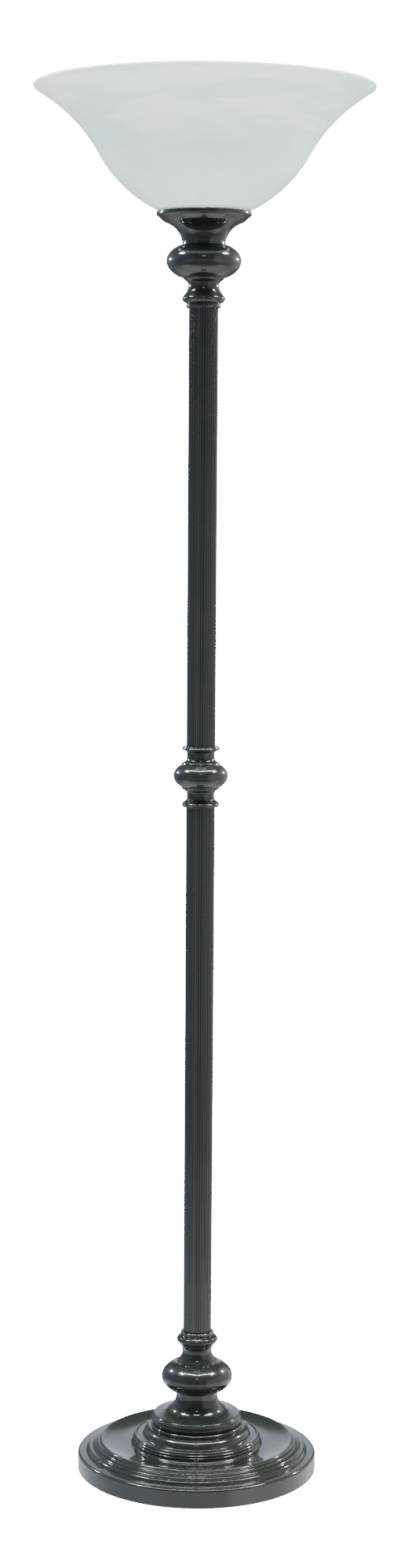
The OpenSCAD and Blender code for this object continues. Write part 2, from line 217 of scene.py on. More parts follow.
class LampStage(bpy.types.PropertyGroup):
    """Camera and lights."""

    distance: bpy.props.FloatProperty(
        name="Camera distance",
        description="From the lamp's axis to the camera",
        default=3.548,
        min=1,
        max=10,
        subtype="DISTANCE",
        unit="LENGTH",
    )
    height: bpy.props.FloatProperty(
        name="Camera height",
        description="From the floor to the camera",
        default=1.302,
        min=0.1,
        max=3,
        subtype="DISTANCE",
        unit="LENGTH",
    )
    pitch: bpy.props.FloatProperty(
        name="Camera pitch",
        description="How far the camera looks down",
        default=math.radians(9.5),
        min=0,
        max=math.radians(60),
        subtype="ANGLE",
        unit="ROTATION",
    )
    roll: bpy.props.FloatProperty(
        name="Camera roll",
        description="How far the camera leans to one side",
        default=math.radians(0.36),
        min=math.radians(-5),
        max=math.radians(5),
        subtype="ANGLE",
        unit="ROTATION",
    )
    lens: bpy.props.FloatProperty(
        name="Lens", description="Focal length", default=64.2, min=20, max=200, unit="CAMERA"
    )
    key_power: bpy.props.FloatProperty(
        name="Key power",
        description="Power that the lights are scaled from, in watts",
        default=34,
        min=0,
        max=500,
    )


# ---- Outlines taken from the CAD nodes ----


def welded(node):
    """A copy of a CAD node's mesh with its loose triangles joined."""
    mesh = bmesh.new()
    mesh.from_mesh(NODES[node].data)
    bmesh.ops.remove_doubles(mesh, verts=mesh.verts[:], dist=WELD)
    return mesh


def reach(node):
    """Smallest and largest radius of a CAD node about the lamp's axis."""
    radii = [math.hypot(v.co.x, v.co.y) for v in NODES[node].data.vertices]
    return min(radii), max(radii)


def section(node, fewest=12):
    """A turned CAD node's outline as (radius, height) points, anticlockwise, and whether it is
    a closed loop. A row of vertices counts if it goes round the axis, so side holes drop out."""
    mesh = welded(node)
    flat = [Vector((math.hypot(v.co.x, v.co.y), v.co.z, 0)) for v in mesh.verts]
    tree = KDTree(len(flat))
    for i, p in enumerate(flat):
        tree.insert(p, i)
    tree.balance()
    row, count = [-1] * len(flat), {}
    for i, p in enumerate(flat):
        if row[i] < 0:
            near = [j for _, j, _ in tree.find_range(p, 2 * WELD) if row[j] < 0]
            for j in near:
                row[j] = i
            count[i] = len(near)
    kept = {i for i, n in count.items() if n >= fewest or flat[i].x < WELD}
    beside = {i: set() for i in kept}
    for edge in mesh.edges:
        a, b = (row[v.index] for v in edge.verts)
        if a != b and a in kept and b in kept:
            beside[a].add(b)
            beside[b].add(a)
    mesh.free()
    ends = [i for i in kept if len(beside[i]) == 1]
    crossings = [i for i in kept if len(beside[i]) > 2]
    if crossings or len(ends) not in (0, 2):
        raise RuntimeError(f"{node}: its outline isn't one line, at {[flat[i] for i in crossings]}")
    at = ends[0] if ends else min(kept)
    path, before = [at], None
    while True:
        onward = [i for i in beside[at] if i != before and i != path[0]]
        if not onward:
            break
        before, at = at, onward[0]
        path.append(at)
    points = [np.array([flat[i].x, flat[i].y]) for i in path]
    if ends:
        points = [np.array([0, points[0][1]])] * (points[0][0] > WELD) + points
        points += [np.array([0, points[-1][1]])] * (points[-1][0] > WELD)
    area = sum(a[0] * b[1] - b[0] * a[1] for a, b in zip(points, points[1:] + points[:1]))
    return (points if area > 0 else points[::-1]), not ends


def turn_at(a, b, c):
    """Angle that a line turns by at b, positive to the left."""
    u, v = b - a, c - b
    return math.atan2(u[0] * v[1] - u[1] * v[0], u[0] * v[0] + u[1] * v[1])


def smoothed(points, closed, corner=math.radians(38), step=math.radians(6), straight=2.5):
    """The outline with its curved stretches filled in. A turn sharper than corner stays. A side
    more than straight times as long as the next one is a flat, and sets the curve's start."""
    n = len(points)
    tangents, sharp = [], []
    for i, p in enumerate(points):
        a = points[i - 1] if i or closed else p
        c = points[(i + 1) % n] if i < n - 1 or closed else p
        la, lc = np.linalg.norm(p - a), np.linalg.norm(c - p)
        bend = abs(turn_at(a, p, c)) if la > 0 and lc > 0 else math.pi
        sharp.append(bend > corner)
        if bend > corner:
            tangents.append(None)
        elif max(la, lc) > straight * min(la, lc):
            tangents.append((p - a) / la if la > lc else (c - p) / lc)
        else:
            pull = (p - a) / la * lc + (c - p) / lc * la
            tangents.append(pull / np.linalg.norm(pull))
    out = []
    for i in range(n if closed else n - 1):
        p, q = points[i], points[(i + 1) % n]
        chord = np.linalg.norm(q - p)
        along = (q - p) / chord
        t0 = along if tangents[i] is None else tangents[i]
        t1 = along if tangents[(i + 1) % n] is None else tangents[(i + 1) % n]
        swing = math.acos(float(np.clip(t0 @ along, -1, 1)))
        swing += math.acos(float(np.clip(t1 @ along, -1, 1)))
        parts = max(1, math.ceil(swing / step))
        for k in range(parts):
            s = k / parts
            out.append(
                (2 * s**3 - 3 * s**2 + 1) * p
                + (s**3 - 2 * s**2 + s) * chord * t0
                + (3 * s**2 - 2 * s**3) * q
                + (s**3 - s**2) * chord * t1
            )
    if not closed:
        out.append(points[-1])
    return out


def eased(points, closed, size, corner=math.radians(20), cuts=4):
    """The outline with each corner rounded by size, and a point beside each rounding that
    keeps the flats flat."""
    n, out = len(points), []
    for i, p in enumerate(points):
        if not closed and i in (0, n - 1):
            out.append(p)
            continue
        a, c = points[i - 1], points[(i + 1) % n]
        if abs(turn_at(a, p, c)) < corner:
            out.append(p)
            continue
        la, lc = np.linalg.norm(p - a), np.linalg.norm(c - p)
        back, on = (a - p) / la, (c - p) / lc
        da, dc = min(size, 0.3 * la), min(size, 0.3 * lc)
        out.append(p + back * 1.6 * da)
        for k in range(cuts + 1):
            s = k / cuts
            out.append(p + back * da * (1 - s) ** 2 + on * dc * s**2)
        out.append(p + on * 1.6 * dc)
    return out


def wear_and_shade_of(points, closed, full=900.0):
    """How sharply the outline bulges at each point: 1 on a fine edge, -1 in a fine groove. Full
    is the bend, in radians to the metre, that counts as fine."""
    n = len(points)
    values = []
    for i, p in enumerate(points):
        if not closed and i in (0, n - 1):
            values.append(0.0)
            continue
        a, c = points[i - 1], points[(i + 1) % n]
        length = (np.linalg.norm(p - a) + np.linalg.norm(c - p)) / 2
        values.append(float(np.clip(turn_at(a, p, c) / length / full, -1, 1)))
    return values


def lathe(name, points, closed, steps, axis=None):
    """A solid of revolution about +Z. Its vertices carry how sharply the outline bulges there, which the
    lacquer reads as wear on the edges and as painted shade in the grooves.
    """
    lowest = min(p[0] for p in points)
    mesh = bmesh.new()
    layer = mesh.verts.layers.float.new("wear_and_shade")
    rows = []
    for (radius, height), wear_and_shade in zip(points, wear_and_shade_of(points, closed)):
        ring = 1 if radius < WELD else steps
        row = []
        for k in range(ring):
            a = math.tau * k / steps
            v = mesh.verts.new((radius * math.cos(a), radius * math.sin(a), height))
            v[layer] = wear_and_shade
            row.append(v)
        rows.append(row * steps if ring == 1 else row)
    pairs = list(zip(rows, rows[1:])) + ([(rows[-1], rows[0])] if closed else [])
    for low, high in pairs:
        for k in range(steps):
            j = (k + 1) % steps
            corners = [low[k], low[j], high[j], high[k]]
            corners = [v for i, v in enumerate(corners) if v not in corners[:i]]
            if len(corners) > 2:
                mesh.faces.new(corners)
    if not closed and lowest > WELD:
        raise RuntimeError(f"{name}: its outline is open and doesn't meet the axis")
    return finished(mesh, name, axis)


def finished(mesh, name, place=None):
    """Turns a bmesh into a smooth-shaded object with outward faces."""
    bmesh.ops.remove_doubles(mesh, verts=mesh.verts[:], dist=WELD / 4)
    bmesh.ops.recalc_face_normals(mesh, faces=mesh.faces[:])
    if place is not None:
        mesh.transform(place)
    data = bpy.data.meshes.new(name)
    mesh.to_mesh(data)
    mesh.free()
    data.shade_smooth()
    data.set_sharp_from_angle(angle=CREASE)
    piece = bpy.data.objects.new(name, data)
    bpy.context.scene.collection.objects.link(piece)
    return piece


def turned(node, steps=None, easing=None):
    """The finished piece for a turned CAD node, from the node's own outline."""
    shape = bpy.context.scene.lamp_shape
    low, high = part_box(node)
    widest = reach(node)[1]
    points, closed = section(node)
    points = eased(smoothed(points, closed), closed, easing or shape.easing)
    points = [np.array([min(max(r, 0), widest), min(max(z, low.z), high.z)]) for r, z in points]
    return lathe(f"turned_{node}", points, closed, steps or shape.steps)


def stand_in(piece, node):
    """Gives a finished piece its material and body, and hides the CAD node it stands for."""
    piece.data.materials.clear()
    piece.data.materials.append(finish_of(SLOTS[node]))
    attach(piece, NODES[node]["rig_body"])
    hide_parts(node)
    return piece


# ---- Node trees ----


class Field:
    """A socket that takes part in formulas. Each step adds one math node to its tree."""

    def __init__(self, tree, socket):
        self.tree = tree
        self.socket = socket

    def math(self, operation, *others):
        return self.tree.math(operation, self, *others)

    def __add__(self, other):
        return self.math("ADD", other)

    def __sub__(self, other):
        return self.math("SUBTRACT", other)

    def __mul__(self, other):
        return self.math("MULTIPLY", other)

    def __truediv__(self, other):
        return self.math("DIVIDE", other)

    def __rsub__(self, other):
        return self.tree.math("SUBTRACT", other, self)

    __radd__ = __add__
    __rmul__ = __mul__

    def above(self, limit):
        """1 where the field is over the limit, and 0 elsewhere."""
        return self.math("GREATER_THAN", limit)

    def clamped(self):
        """The field, kept between 0 and 1."""
        return self.math("MAXIMUM", 0).math("MINIMUM", 1)

    def wrapped(self, period):
        """The field's remainder, from 0 up to the period."""
        return self.math("FLOORED_MODULO", period)

    def where(self, choice, other):
        """This field where choice is 1, and the other where it is 0."""
        return self * choice + (1 - choice) * other


class Tree:
    """A node tree, and short ways to add nodes to it."""

    def __init__(self, nodes, links):
        self.nodes = nodes
        self.links = links

    def join(self, source, socket):
        if isinstance(source, Field):
            self.links.new(source.socket, socket)
        elif source is not None:
            socket.default_value = source

    def add(self, kind, inputs=None, output=0, **settings):
        """Adds a node. Its inputs come by name or place, and its output as a Field."""
        node = self.nodes.new(kind)
        for key, value in settings.items():
            setattr(node, key, value)
        for key, source in (inputs or {}).items():
            self.join(source, node.inputs[key])
        return Field(self, node.outputs[output]) if node.outputs else node

    def math(self, operation, *sources):
        return self.add("ShaderNodeMath", dict(enumerate(sources)), operation=operation)


class Shaper(Tree):
    """A geometry node tree with named inputs for its sizes. It ends in Realize Instances and
    Set Material."""

    def __init__(self, name, sizes, shapes_mesh=False):
        self.group = bpy.data.node_groups.new(name, "GeometryNodeTree")
        super().__init__(self.group.nodes, self.group.links)
        self.ids, self.sizes = {}, sizes
        face = self.group.interface
        face.new_socket("Geometry", in_out="OUTPUT", socket_type="NodeSocketGeometry")
        if shapes_mesh:
            face.new_socket("Mesh", in_out="INPUT", socket_type="NodeSocketGeometry")
        for title, value in sizes.items():
            kind = {int: "NodeSocketInt", float: "NodeSocketFloat"}.get(type(value))
            made = face.new_socket(title, in_out="INPUT", socket_type=kind or "NodeSocketMaterial")
            self.ids[title] = made.identifier
        self.given = self.nodes.new("NodeGroupInput")
        self.spot = self.add("GeometryNodeInputPosition")

    def size(self, title):
        return Field(self, self.given.outputs[title])

    def wrap(self, steps, rows, rule):
        """Bends a grid round the axis. The rule turns each point's angle and row into its radius, its
        height and how sharply it bulges, which the lacquer reads as wear on edges and painted shade in
        grooves. The last column and row close on the first."""
        grid = self.add(
            "GeometryNodeMeshGrid",
            {"Size X": steps, "Size Y": rows, "Vertices X": steps + 1, "Vertices Y": rows + 1},
        )
        across = self.add("ShaderNodeSeparateXYZ", {"Vector": self.spot})
        up = self.add("ShaderNodeSeparateXYZ", {"Vector": self.spot}, output=1)
        column = (across + steps / 2).math("ROUND").wrapped(steps)
        row = (up + rows / 2).math("ROUND").wrapped(rows)
        angle = column * math.tau / steps
        radius, height, wear_and_shade = rule(angle, row)
        place = self.add(
            "ShaderNodeCombineXYZ",
            {"X": radius * angle.math("COSINE"), "Y": radius * angle.math("SINE"), "Z": height},
        )
        marked = self.add(
            "GeometryNodeStoreNamedAttribute", {"Geometry": grid, "Name": "wear_and_shade", "Value": wear_and_shade}
        )
        bent = self.add("GeometryNodeSetPosition", {"Geometry": marked, "Position": place})
        return self.add("GeometryNodeMergeByDistance", {"Geometry": bent, "Distance": WELD / 4})

    def walls(self, row, rows):
        """For a tube whose outer wall goes up in rows, and whose inner wall comes down in as
        many: whether a row is on the outer wall, and how many rows up it is."""
        outside = (rows + 0.5 - row).above(0)
        return outside, row.where(outside, rows * 2 + 1 - row)

    def made(self, name, slot, geometry, place=None, piece=None):
        """Ends the tree, runs it on the piece or on an empty mesh, and gives a plain mesh."""
        whole = self.add("GeometryNodeRealizeInstances", {"Geometry": geometry})
        paint = {"Geometry": whole, "Material": finish_of(slot)}
        painted = self.add("GeometryNodeSetMaterial", paint)
        self.join(painted, self.nodes.new("NodeGroupOutput").inputs["Geometry"])
        if piece is None:
            piece = bpy.data.objects.new(name, bpy.data.meshes.new(name))
            bpy.context.scene.collection.objects.link(piece)
        modifier = piece.modifiers.new("Shape", "NODES")
        modifier.node_group = self.group
        for title, value in self.sizes.items():
            modifier[self.ids[title]] = value
        evaluated = piece.evaluated_get(bpy.context.evaluated_depsgraph_get())
        data = bpy.data.meshes.new_from_object(evaluated)
        piece.modifiers.clear()
        piece.data = data
        data.name = name
        if place is not None:
            data.transform(place)
        data.shade_smooth()
        data.set_sharp_from_angle(angle=CREASE)
        return piece


def reeded_tube(node):
    """A tube with round reeds: the largest of the core's radius and the reed's own arc."""
    shape = bpy.context.scene.lamp_shape
    low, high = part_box(node)
    bore, outer = reach(node)
    rows = 24
    tree = Shaper(
        "Reeded tube",
        {
            "Reeds": shape.reeds,
            "Steps in a reed": 12,
            "Reed radius": shape.reed_radius,
            "Reed depth": shape.reed_depth,
            "Outer radius": outer,
            "Bore radius": bore,
            "Bottom": low.z,
            "Top": high.z,
        },
    )
    reeds, reed = tree.size("Reeds"), tree.size("Reed radius")
    centre = tree.size("Outer radius") - reed
    core = tree.size("Outer radius") - tree.size("Reed depth")

    def rule(angle, row):
        outside, up = tree.walls(row, rows)
        across = (angle * reeds / math.tau + 0.5).wrapped(1) * 2 - 1
        # The steps crowd towards the grooves, where the wall turns sharply.
        spread = across * (3 - across * across) / 2
        aside = spread * math.pi / reeds
        rise = reed * reed - (centre * aside.math("SINE")).math("POWER", 2)
        arc = centre * aside.math("COSINE") + rise.math("MAXIMUM", 0).math("SQRT")
        wall = arc.math("MAXIMUM", core)
        radius = wall.where(outside, tree.size("Bore radius"))
        height = tree.size("Bottom") + up / rows * (tree.size("Top") - tree.size("Bottom"))
        # The reed tops count as edges and get rubbed wear; the grooves between reeds get painted shade.
        wear_and_shade = (wall - core) / tree.size("Reed depth") * 1.3 - 0.8
        return radius, height, wear_and_shade

    tube = tree.wrap(reeds * tree.size("Steps in a reed"), tree.math("ADD", 2 * rows, 2), rule)
    return tree.made(f"reeded_{node}", SLOTS[node], tube)


def threaded_pipe(node, length=13 * MM, depth=0.4 * MM, steps_in_turn=6):
    """A lamp pipe with a cut thread at each end: the thread is a wave that climbs with the
    angle, and it fades out towards the plain middle."""
    shape = bpy.context.scene.lamp_shape
    low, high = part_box(node)
    bore, outer = reach(node)
    half = round(length / shape.pipe_pitch * steps_in_turn)
    rows = 2 * half + 1
    tree = Shaper(
        "Threaded pipe",
        {
            "Steps": 32,
            "Pitch": shape.pipe_pitch,
            "Thread depth": depth,
            "Thread length": length,
            "Outer radius": outer,
            "Bore radius": bore,
            "Bottom": low.z,
            "Top": high.z,
        },
    )

    def rule(angle, row):
        outside, up = tree.walls(row, rows)
        step = tree.size("Thread length") / half
        upper = (up - half - 0.5).above(0)
        from_end = up.where(1 - upper, rows - up) * step
        height = (tree.size("Top") - from_end).where(upper, tree.size("Bottom") + from_end)
        wave = (height / tree.size("Pitch") - angle / math.tau) * math.tau
        fade = ((tree.size("Thread length") - from_end) / tree.size("Pitch")).clamped()
        cut = tree.size("Thread depth") * fade * (1 - wave.math("COSINE")) / 2
        radius = (tree.size("Outer radius") - cut).where(outside, tree.size("Bore radius"))
        return radius, height, cut / tree.size("Thread depth") * -1

    pipe = tree.wrap(tree.size("Steps"), tree.math("ADD", 2 * rows, 2), rule)
    return tree.made(f"threaded_{node}", SLOTS[node], pipe)


def rolled_thread(node, low, high, depth, wall):
    """A thin sleeve with a round thread rolled into it, as on a bulb cap and in its holder."""
    shape = bpy.context.scene.lamp_shape
    radius = reach(node)[1]
    rows = round((high - low) / shape.bulb_pitch * 14)
    tree = Shaper(
        "Rolled thread",
        {
            "Steps": 72,
            "Pitch": shape.bulb_pitch,
            "Thread depth": depth,
            "Outer radius": radius,
            "Wall": wall,
            "Bottom": low,
            "Top": high,
        },
    )

    def rule(angle, row):
        outside, up = tree.walls(row, rows)
        height = tree.size("Bottom") + up / rows * (tree.size("Top") - tree.size("Bottom"))
        wave = (height / tree.size("Pitch") - angle / math.tau) * math.tau
        ends = (height - tree.size("Bottom")).math("MINIMUM", tree.size("Top") - height)
        fade = (ends / tree.size("Pitch") * 1.6).clamped()
        cut = tree.size("Thread depth") * (1 - fade * (1 + wave.math("COSINE")) / 2)
        face = tree.size("Outer radius") - cut
        radius = face.where(outside, face - tree.size("Wall"))
        return radius, height, 1 - cut / tree.size("Thread depth") * 2

    sleeve = tree.wrap(tree.size("Steps"), tree.math("ADD", 2 * rows, 2), rule)
    return tree.made(f"rolled_{node}", SLOTS[node], sleeve)


# ---- Finishes ----


class Finish(Tree):
    """A material's node tree round one Principled shader. Its patterns are laid in the
    object's own coordinates, so they stay put from every side and in every pose."""

    def __init__(self, name):
        self.material = bpy.data.materials.new(name)
        self.material.use_nodes = True
        tree = self.material.node_tree
        tree.nodes.clear()
        super().__init__(tree.nodes, tree.links)
        self.shader = tree.nodes.new("ShaderNodeBsdfPrincipled")
        out = tree.nodes.new("ShaderNodeOutputMaterial")
        tree.links.new(self.shader.outputs["BSDF"], out.inputs["Surface"])
        self.spot = self.add("ShaderNodeTexCoord", output="Object")

    def set(self, **sources):
        """Sets the shader's inputs, such as coat_weight for Coat Weight."""
        for key, source in sources.items():
            title = key.replace("_", " ").title().replace("Ior", "IOR")
            self.join(source, self.shader.inputs[title])

    def noise(self, scale, detail=4, roughness=0.55, distortion=0, stretch=(1, 1, 1)):
        """Noise from 0 to 1, with scale lumps to the metre, squeezed by stretch."""
        spot = self.add("ShaderNodeMapping", {"Vector": self.spot, "Scale": stretch})
        inputs = {"Scale": scale, "Detail": detail, "Roughness": roughness}
        return self.add("ShaderNodeTexNoise", inputs | {"Vector": spot, "Distortion": distortion})

    def ramp(self, value, low, high, start=0.0, end=1.0):
        """The value's stretch from low to high, spread over start to end."""
        inputs = {"Value": value, 1: low, 2: high, 3: start, 4: end}
        return self.add("ShaderNodeMapRange", inputs, interpolation_type="SMOOTHSTEP")

    def mix(self, amount, a, b, blend="MIX"):
        """Colour a where amount is 0, and colour b where it is 1."""
        colours = {6: a if isinstance(a, Field) else (*a, 1), 7: b if isinstance(b, Field) else (*b, 1)}
        inputs = {0: amount} | colours
        return self.add("ShaderNodeMix", inputs, output=2, data_type="RGBA", blend_type=blend)

    def colour(self, source):
        self.join(source if isinstance(source, Field) else (*source, 1), self.shader.inputs["Base Color"])

    def bump(self, height, depth):
        """Raises the surface by up to depth metres where height is 1."""
        self.set(normal=self.add("ShaderNodeBump", {"Height": height, "Distance": depth, "Strength": 1.0}))

    def wear_and_shade(self):
        """How sharply the piece bulges: 1 on a fine edge, which is rubbed as wear, -1 in a fine groove,
        which gets painted shade, 0 on an open face.
        """
        return self.add("ShaderNodeAttribute", output="Fac", attribute_name="wear_and_shade")


def bronze_lacquer(finish):
    """Glossy lacquer over dark bronze: cloudy and warmer in places, rubbed on the edges, with painted
    shade in the grooves, and the faint ripple of a sprayed coat."""
    look = bpy.context.scene.lamp_finish
    cloud = finish.ramp(finish.noise(26, 5, 0.6, 0.8), 0.42, 0.72)
    fine = finish.noise(420, 3, 0.6)
    wear_and_shade = finish.wear_and_shade()
    rubbed = (finish.ramp(wear_and_shade, 0.25, 1) * finish.ramp(fine, 0.35, 0.75)).clamped() * 0.4
    # Painted shade: the fine grooves are darkened and made a little rougher.
    painted_groove_shade = finish.ramp(wear_and_shade, -0.1, -0.8) * 0.6
    body = finish.mix(cloud * 0.8, tuple(look.lacquer), tuple(look.lacquer_warm))
    body = finish.mix(rubbed, body, tuple(look.lacquer_worn))
    # Painted shade: the grooves are mixed towards near-black.
    finish.colour(finish.mix(painted_groove_shade, body, (0.008, 0.009, 0.008)))
    smear = finish.ramp(finish.noise(60, 4, 0.65, 0.5), 0.35, 0.75)
    finish.set(roughness=0.26 + smear * 0.08 + painted_groove_shade * 0.2)
    finish.set(specular_ior_level=0.1, coat_weight=1.0, coat_roughness=0.035)
    finish.bump(finish.noise(110, 1, 0.4), 0.006 * MM)


def alabaster_glass(finish):
    """Opal glass with an acid-satin skin: soft clouds all over, and milky streaks drawn round
    the flare under the lip."""
    look = bpy.context.scene.lamp_finish
    heights = [v.co.z for v in NODES["glass_bowl"].data.vertices]
    foot, lip = min(heights), max(heights)
    height = finish.add("ShaderNodeSeparateXYZ", {0: finish.spot}, output=2)
    flare_start, flare_full = (foot + (lip - foot) * share for share in (0.42, 0.72))
    flare = finish.ramp(height, flare_start, flare_full)
    drift = finish.noise(5, 5, 0.5, 0.5, stretch=(1, 1, 8))
    streaks = finish.ramp(drift, 0.45, 0.58) * (1 - finish.ramp(drift, 0.58, 0.72))
    haze = finish.ramp(finish.noise(9, 4, 0.55, 1.0, stretch=(1, 1, 2)), 0.35, 0.8)
    milky = (streaks * (flare * 0.75 + 0.1) + haze * 0.3).clamped()
    finish.colour(finish.mix(milky, tuple(look.glass), tuple(look.glass_swirl)))
    finish.set(roughness=0.34 - milky * 0.08)
    finish.set(subsurface_weight=0.55, subsurface_scale=0.012, subsurface_radius=(1, 1, 1))
    finish.set(specular_ior_level=0.45, ior=1.5, coat_weight=0.15, coat_roughness=0.25)
    finish.bump(finish.noise(38, 3, 0.5) * 0.7 + finish.noise(900, 2, 0.5) * 0.02, 0.12 * MM)


def felt(finish):
    """Pressed wool: short matted fibres that lie every way."""
    look = bpy.context.scene.lamp_finish
    fibre = finish.noise(900, 6, 0.75, 3)
    tuft = finish.noise(140, 4, 0.6)
    base = tuple(look.felt)
    finish.colour(finish.mix(finish.ramp(fibre, 0.35, 0.7), base, tuple(c * 2.4 for c in base)))
    finish.set(roughness=0.9 + tuft * 0.1)
    finish.set(sheen_weight=0.3, sheen_roughness=0.5, specular_ior_level=0.2)
    finish.bump(fibre * 0.7 + tuft * 0.3, 0.5 * MM)


def metal(finish, colour, roughness, stain=0.25, grain=0.02 * MM, turned_marks=1.0):
    """A plain metal: fine tool marks round the axis, and patches of tarnish."""
    patch = finish.ramp(finish.noise(120, 5, 0.6, 0.6), 0.4, 0.75) * stain
    marks = finish.noise(2600, 2, 0.5, stretch=(0.03, 0.03, 1))
    dark = tuple(c * 0.42 for c in colour)
    finish.colour(finish.mix(patch, colour, dark))
    finish.set(roughness=roughness + patch * 0.5 + marks * 0.08)
    finish.set(metallic=1.0)
    finish.bump(marks * turned_marks + finish.noise(700, 3, 0.6) * 0.3, grain)


def cast_iron(finish):
    """Rough sand casting under a thin black wash."""
    grit = finish.noise(520, 6, 0.7)
    rust = finish.ramp(finish.noise(45, 5, 0.65, 0.7), 0.52, 0.78)
    finish.colour(finish.mix(rust * 0.6, (0.045, 0.044, 0.042), (0.13, 0.06, 0.03)))
    finish.set(roughness=0.62 + grit * 0.3, metallic=0.4)
    finish.bump(grit, 0.35 * MM)


def moulded(finish, colour, roughness, grain=0.02 * MM, mottle=0.0):
    """A moulded plastic or rubber: an even body, a fine grain and scuffed patches."""
    grit = finish.noise(1500, 3, 0.6)
    scuff = finish.ramp(finish.noise(90, 4, 0.6, 0.6), 0.45, 0.75)
    pale = tuple(min(1, c * (1.5 + mottle) + 0.01) for c in colour)
    finish.colour(finish.mix(scuff * (0.4 + mottle), colour, pale))
    finish.set(roughness=roughness + scuff * 0.12 + grit * 0.05)
    finish.set(specular_ior_level=0.45)
    finish.bump(grit, grain)


def bulb_glass(finish):
    """Soft white glass, coated inside: a satin skin with soft clouds."""
    cloud = finish.noise(60, 3, 0.5)
    finish.colour(finish.mix(cloud * 0.6, (0.86, 0.87, 0.84), (0.93, 0.93, 0.91)))
    finish.set(roughness=0.22 + cloud * 0.1)
    finish.set(subsurface_weight=0.4, subsurface_scale=0.006, coat_weight=0.3, coat_roughness=0.1)
    finish.bump(finish.noise(700, 2, 0.5), 0.01 * MM)


def clear_glass(finish):
    """The stem inside the bulb: clear, with seed bubbles."""
    seeds = finish.ramp(finish.noise(800, 2, 0.5), 0.62, 0.8)
    finish.colour(finish.mix(seeds, (0.86, 0.9, 0.9), (0.95, 0.97, 0.97)))
    finish.set(roughness=0.06 + seeds * 0.1)
    finish.set(transmission_weight=0.85, ior=1.5)


FINISHES = {
    "bronze_lacquer": bronze_lacquer,
    "alabaster_glass": alabaster_glass,
    "felt": felt,
    "cast_iron": cast_iron,
    "bulb_glass": bulb_glass,
    "clear_glass": clear_glass,
    "brass": lambda f: metal(f, tuple(bpy.context.scene.lamp_finish.brass), 0.24),
    "socket_brass": lambda f: metal(f, (0.72, 0.53, 0.22), 0.16, stain=0.35, grain=0.008 * MM),
    "zinc_steel": lambda f: metal(f, (0.56, 0.57, 0.56), 0.34, stain=0.3),
    "bulb_cap": lambda f: metal(f, (0.66, 0.67, 0.68), 0.28, stain=0.15, grain=0.006 * MM),
    "tungsten": lambda f: metal(f, (0.24, 0.24, 0.26), 0.4, stain=0.2, grain=0.004 * MM),
    "black_nylon": lambda f: moulded(f, (0.014, 0.014, 0.014), 0.42),
    "rubber": lambda f: moulded(f, (0.022, 0.022, 0.022), 0.7, grain=0.04 * MM),
    "phenolic": lambda f: moulded(f, (0.035, 0.020, 0.015), 0.24, grain=0.01 * MM, mottle=0.3),
    "bulb_insulator": lambda f: moulded(f, (0.012, 0.012, 0.016), 0.1, grain=0.004 * MM),
    "fibre_board": lambda f: moulded(f, (0.40, 0.29, 0.16), 0.8, grain=0.05 * MM, mottle=0.2),
}


def finish_of(slot):
    """The material for one of the record's slots, made when it is first asked for."""
    name = f"finish_{slot}"
    if name not in bpy.data.materials:
        FINISHES[slot](Finish(name))
    return bpy.data.materials[name]


# ---- Pieces ----


def bored(piece, start, end, radius):
    """Cuts a round hole of that radius from start to end."""
    start, end = Vector(start), Vector(end)
    tool = bmesh.new()
    bmesh.ops.create_cone(
        tool, cap_ends=True, segments=64, radius1=radius, radius2=radius, depth=(end - start).length
    )
    turn = (end - start).to_track_quat("Z", "Y").to_matrix().to_4x4()
    cutter = finished(tool, "cutter", Matrix.Translation((start + end) / 2) @ turn)
    return carved(piece, cutter)


def carved(piece, cutter):
    """Takes the cutter's shape away from the piece."""
    cut = piece.modifiers.new("Cut", "BOOLEAN")
    cut.operation, cut.solver, cut.object = "DIFFERENCE", "EXACT", cutter
    evaluated = piece.evaluated_get(bpy.context.evaluated_depsgraph_get())
    data = bpy.data.meshes.new_from_object(evaluated)
    piece.modifiers.clear()
    piece.data = data
    bpy.data.objects.remove(cutter)
    data.set_sharp_from_angle(angle=CREASE)
    return piece


def slotted(name, outline, width, depth, place):
    """A screw turned from its outline, with a slot across its top, then put in its place."""
    top = max(z for _, z in outline)
    across = max(r for r, _ in outline) * 2.2
    screw = lathe(name, [np.array(p) for p in outline], False, 48)
    box = bmesh.new()
    bmesh.ops.create_cube(box, size=1)
    size = Matrix.Diagonal((across, width, depth * 2, 1))
    carved(screw, finished(box, "cutter", Matrix.Translation((0, 0, top)) @ size))
    screw.data.transform(place)
    return screw


def turned_to_x(x, z):
    """Stands a piece that was made upright along +X, from x, at height z."""
    return Matrix.Translation((x, 0, z)) @ Matrix.Rotation(math.radians(90), 4, "Y")


def turned_felt():
    """The felt: a disc with a soft, slightly crushed edge."""
    return turned("base_felt", easing=1.1 * MM)


def cord_bushing():
    """A flanged bushing, turned upright and laid along +Y through the rim."""
    low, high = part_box("cord_bushing")
    middle = (low.z + high.z) / 2
    flange = (high.z - low.z) / 2
    shank = flange - BUSHING_FLANGE
    wall, lead_in = 1.6 * MM, 0.9 * MM
    bore = shank - wall
    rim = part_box("base_cover")[1].y
    seat = math.sqrt(rim**2 - flange**2)
    outline = [
        (bore, low.y),
        (shank, low.y),
        (shank, seat),
        (flange, seat),
        (flange, high.y - lead_in),
        (flange - 1.1 * MM, high.y),
        (bore + lead_in, high.y),
        (bore, high.y - lead_in),
    ]
    points = eased([np.array(p) for p in outline], True, 0.45 * MM)
    lay = Matrix.Translation((0, 0, middle)) @ Matrix.Rotation(math.radians(-90), 4, "X")
    return lathe("turned_cord_bushing", points, True, 64, lay)


def base_cover():
    """The pressed cover, with the hole that its bushing stands in."""
    cover = turned("base_cover", steps=192)
    low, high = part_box("cord_bushing")
    slack, past = 0.06 * MM, 4 * MM
    radius = (high.z - low.z) / 2 - BUSHING_FLANGE + slack
    z = (low.z + high.z) / 2
    return bored(cover, (0, low.y - past, z), (0, high.y + past, z), radius)


